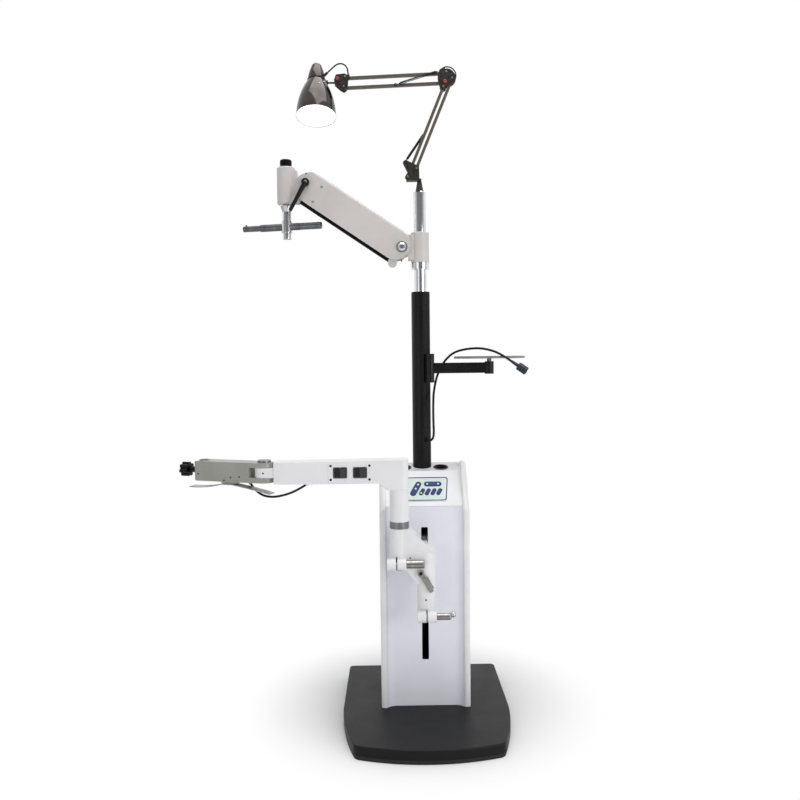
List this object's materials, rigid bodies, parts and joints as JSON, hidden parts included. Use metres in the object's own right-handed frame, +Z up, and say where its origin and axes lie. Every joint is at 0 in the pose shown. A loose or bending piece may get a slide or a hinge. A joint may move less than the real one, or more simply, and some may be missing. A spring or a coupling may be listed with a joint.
{
  "type": "ophthalmic instrument stand",
  "caption": "Floor stand for eye examination instruments: cabinet base with sliding swing arm, mast with telescopic pole, lift arm, sprung reading lamp and small round tray",
  "frame": {"origin": "On the floor, under the mast's axis.", "axes": "+Z up along the mast, -Y to the front of the cabinet, +X to the right as seen from the front."},
  "size_m": [1.0329, 0.5959, 1.9807],
  "materials": {
    "white_paint": "satin powder coat",
    "grey_blue_paint": "satin powder coat",
    "black_cover": "satin moulded",
    "steel_plate": "black coat",
    "frame_steel": "ground",
    "mast_black": "satin powder coat",
    "chrome": "polished",
    "satin_steel": "satin turned",
    "dark_steel": "gun-metal paint",
    "black_plastic": "fine texture",
    "gloss_black": "glossy",
    "navy_keys": "glossy",
    "keypad_film": "satin film",
    "grey_tray": "satin powder coat",
    "black_rubber": "matt",
    "spring_steel": "drawn wire",
    "bulb_glass": "frosted"
  },
  "bodies": {
    "stand": {"base_plate": "steel_plate", "base_cover": "black_cover", "pillar_left": "white_paint", "pillar_right": "white_paint", "front_panel": "grey_blue_paint", "console_cover": "white_paint", "rear_cover": "white_paint", "keypad_plate": "keypad_film", "guide_frame": "frame_steel", "mast_tube": "mast_black", "tray_bracket": "mast_black", "well_liners": "black_plastic", "mains_inlet": "black_plastic"},
    "key_1": {"key_double": "navy_keys"},
    "key_2": {"key_wide": "navy_keys"},
    "key_3": {"key_small_1": "navy_keys"},
    "key_4": {"key_small_2": "navy_keys"},
    "key_5": {"key_small_3": "navy_keys"},
    "key_6": {"key_small_4": "navy_keys"},
    "slide": {"carriage": "white_paint"},
    "bracket": {"swing_bracket": "white_paint"},
    "lower_lock": {"lock_handle_lower": "satin_steel"},
    "upper_lock": {"lock_handle_upper": "satin_steel"},
    "lever": {"height_lever": "black_plastic"},
    "first_arm": {"instrument_arm": "white_paint", "switch_plate": "white_paint", "arm_spindle": "satin_steel", "arm_cable": "black_rubber"},
    "switch_left": {"rocker_left": "gloss_black"},
    "switch_right": {"rocker_right": "gloss_black"},
    "outer_arm": {"second_arm": "white_paint", "saddle_plate": "white_paint", "elbow_pin": "chrome"},
    "post_knob": {"star_knob": "black_plastic"},
    "tray_link": {"tray_arm": "grey_tray", "device_lead": "black_rubber", "lead_connector": "black_rubber"},
    "tray": {"tray_plate": "grey_tray"},
    "post": {"pole": "chrome"},
    "hub": {"lift_hub": "chrome"},
    "lift": {"lift_arm": "white_paint", "pivot_bolt": "chrome"},
    "link": {"lift_link": "gloss_black"},
    "lift_lock": {"clamp_lever": "black_plastic"},
    "head": {"head_knuckle": "chrome"},
    "top_knob": {"head_knob": "black_plastic"},
    "spindle": {"head_spindle": "chrome"},
    "cross": {"t_bar": "chrome"},
    "lamp_foot": {"lamp_base": "dark_steel", "lower_spring": "spring_steel"},
    "lower_front": {"lower_bar_front": "dark_steel"},
    "lower_rear": {"lower_bar_rear": "dark_steel"},
    "lamp_joint": {"lamp_elbow": "dark_steel", "upper_spring": "spring_steel"},
    "upper_top": {"upper_bar_top": "dark_steel"},
    "upper_bottom": {"upper_bar_bottom": "dark_steel"},
    "lamp_end": {"lamp_head": "dark_steel", "lamp_cord": "black_rubber"},
    "shade": {"lamp_shade": "chrome", "lamp_bulb": "bulb_glass"}
  },
  "joints": [
    {"name": "press_1", "type": "slide", "parent": "stand", "child": "key_1", "axis": [0, -0.7342, 0.6789], "range_m": [-0.0005, 0], "stiffness_N_per_m": 600},
    {"name": "press_2", "type": "slide", "parent": "stand", "child": "key_2", "axis": [0, -0.7342, 0.6789], "range_m": [-0.0005, 0], "stiffness_N_per_m": 600},
    {"name": "press_3", "type": "slide", "parent": "stand", "child": "key_3", "axis": [0, -0.7342, 0.6789], "range_m": [-0.0005, 0], "stiffness_N_per_m": 600},
    {"name": "press_4", "type": "slide", "parent": "stand", "child": "key_4", "axis": [0, -0.7342, 0.6789], "range_m": [-0.0005, 0], "stiffness_N_per_m": 600},
    {"name": "press_5", "type": "slide", "parent": "stand", "child": "key_5", "axis": [0, -0.7342, 0.6789], "range_m": [-0.0005, 0], "stiffness_N_per_m": 600},
    {"name": "press_6", "type": "slide", "parent": "stand", "child": "key_6", "axis": [0, -0.7342, 0.6789], "range_m": [-0.0005, 0], "stiffness_N_per_m": 600},
    {"name": "height", "type": "slide", "parent": "stand", "child": "slide", "axis": [0, 0, 1], "range_m": [-0.247, 0.038]},
    {"name": "bracket_swing", "type": "hinge", "parent": "slide", "child": "bracket", "pos_m": [0, -0.215, 0.3495], "axis": [0, 0, 1], "range_deg": [-5, 60]},
    {"name": "lower_lock_turn", "type": "hinge", "parent": "bracket", "child": "lower_lock", "pos_m": [0.027, -0.254, 0.3495], "axis": [1, 0, 0], "range_deg": [-60, 60]},
    {"name": "upper_lock_turn", "type": "hinge", "parent": "bracket", "child": "upper_lock", "pos_m": [-0.057, -0.254, 0.5005], "axis": [1, 0, 0], "range_deg": [-60, 60]},
    {"name": "lever_turn", "type": "hinge", "parent": "bracket", "child": "lever", "pos_m": [-0.016, -0.2415, 0.472], "axis": [0, 1, 0], "range_deg": [-20, 20]},
    {"name": "arm_swing", "type": "hinge", "parent": "bracket", "child": "first_arm", "pos_m": [-0.075, -0.215, 0.54], "axis": [0, 0, 1], "range_deg": [-10, 150]},
    {"name": "rocker_left_turn", "type": "hinge", "parent": "first_arm", "child": "switch_left", "pos_m": [-0.24, -0.246, 0.7615], "axis": [0, 0, 1], "range_deg": [0, 12]},
    {"name": "rocker_right_turn", "type": "hinge", "parent": "first_arm", "child": "switch_right", "pos_m": [-0.184, -0.246, 0.7615], "axis": [0, 0, 1], "range_deg": [0, 12]},
    {"name": "elbow_swing", "type": "hinge", "parent": "first_arm", "child": "outer_arm", "pos_m": [-0.457, -0.215, 0.762], "axis": [0, 0, 1], "range_deg": [-65, 105], "deforming": ["arm_cable"]},
    {"name": "post_knob_turn", "type": "hinge", "parent": "outer_arm", "child": "post_knob", "pos_m": [-0.66091, -0.14078, 0.7615], "axis": [-0.9397, 0.342, 0], "continuous": true},
    {"name": "tray_swing", "type": "hinge", "parent": "stand", "child": "tray_link", "pos_m": [0.027, -0.03217, 1.049], "axis": [0, 0, 1], "range_deg": [-100, 35], "deforming": ["device_lead"]},
    {"name": "tray_turn", "type": "hinge", "parent": "tray_link", "child": "tray", "pos_m": [0.207, -0.03217, 1.06], "axis": [0, 0, 1], "continuous": true},
    {"name": "pole_height", "type": "slide", "parent": "stand", "child": "post", "axis": [0, 0, 1], "range_m": [-0.06, 0.2]},
    {"name": "hub_swing", "type": "hinge", "parent": "post", "child": "hub", "pos_m": [0, 0, 1.418], "axis": [0, 0, 1], "range_deg": [-120, 120]},
    {"name": "lift_tilt", "type": "hinge", "parent": "hub", "child": "lift", "pos_m": [-0.056, 0, 1.418], "axis": [0, 1, 0], "range_deg": [-40, 2]},
    {"name": "link_tilt", "type": "hinge", "parent": "hub", "child": "link", "pos_m": [-0.085, 0, 1.37484], "axis": [0, 1, 0], "range_deg": [-40, 2]},
    {"name": "lift_lock_turn", "type": "hinge", "parent": "lift", "child": "lift_lock", "pos_m": [-0.34484, 0, 1.6121], "axis": [0, 1, 0], "range_deg": [-25, 60]},
    {"name": "head_level", "type": "hinge", "parent": "lift", "child": "head", "pos_m": [-0.34484, 0, 1.6121], "axis": [0, 1, 0], "range_deg": [-2, 40]},
    {"name": "top_knob_turn", "type": "hinge", "parent": "head", "child": "top_knob", "pos_m": [-0.407, 0, 1.677], "axis": [0, 0, 1], "continuous": true},
    {"name": "spindle_swing", "type": "hinge", "parent": "head", "child": "spindle", "pos_m": [-0.407, 0, 1.56], "axis": [0, 0, 1], "range_deg": [-120, 0]},
    {"name": "cross_slide", "type": "slide", "parent": "spindle", "child": "cross", "axis": [0.9659, -0.2588, 0], "range_m": [-0.04, 0.02]},
    {"name": "lamp_swing", "type": "hinge", "parent": "post", "child": "lamp_foot", "pos_m": [0, 0, 1.588], "axis": [0, 0, 1], "range_deg": [-150, 150]},
    {"name": "lamp_lower", "type": "hinge", "parent": "lamp_foot", "child": "lower_front", "pos_m": [-0.009, 0, 1.657], "axis": [0, 1, 0], "range_deg": [-25, 8], "deforming": ["lower_spring"]},
    {"name": "lamp_lower_pair", "type": "hinge", "parent": "lamp_foot", "child": "lower_rear", "pos_m": [-0.036, 0, 1.632], "axis": [0, 1, 0], "range_deg": [-25, 8]},
    {"name": "lamp_elbow_level", "type": "hinge", "parent": "lower_front", "child": "lamp_joint", "pos_m": [0.10198, 0, 1.92492], "axis": [0, 1, 0], "range_deg": [-8, 25]},
    {"name": "lamp_upper", "type": "hinge", "parent": "lamp_joint", "child": "upper_top", "pos_m": [0.08398, 0, 1.94392], "axis": [0, 1, 0], "range_deg": [-22, 30], "deforming": ["upper_spring"]},
    {"name": "lamp_upper_pair", "type": "hinge", "parent": "lamp_joint", "child": "upper_bottom", "pos_m": [0.07998, 0, 1.91492], "axis": [0, 1, 0], "range_deg": [-22, 30]},
    {"name": "lamp_head_level", "type": "hinge", "parent": "upper_top", "child": "lamp_end", "pos_m": [-0.22275, 0, 1.93107], "axis": [0, 1, 0], "range_deg": [-30, 35]},
    {"name": "shade_tilt", "type": "hinge", "parent": "lamp_end", "child": "shade", "pos_m": [-0.283, 0, 1.917], "axis": [1, 0, 0], "range_deg": [-60, 40], "deforming": ["lamp_cord"]}
  ],
  "couplings": [
    {"joint": "link_tilt", "follows": "lift_tilt", "ratio": 1},
    {"joint": "head_level", "follows": "lift_tilt", "ratio": -1},
    {"joint": "lamp_lower_pair", "follows": "lamp_lower", "ratio": 1},
    {"joint": "lamp_elbow_level", "follows": "lamp_lower", "ratio": -1},
    {"joint": "lamp_upper_pair", "follows": "lamp_upper", "ratio": 1},
    {"joint": "lamp_head_level", "follows": "lamp_upper", "ratio": -1}
  ]
}
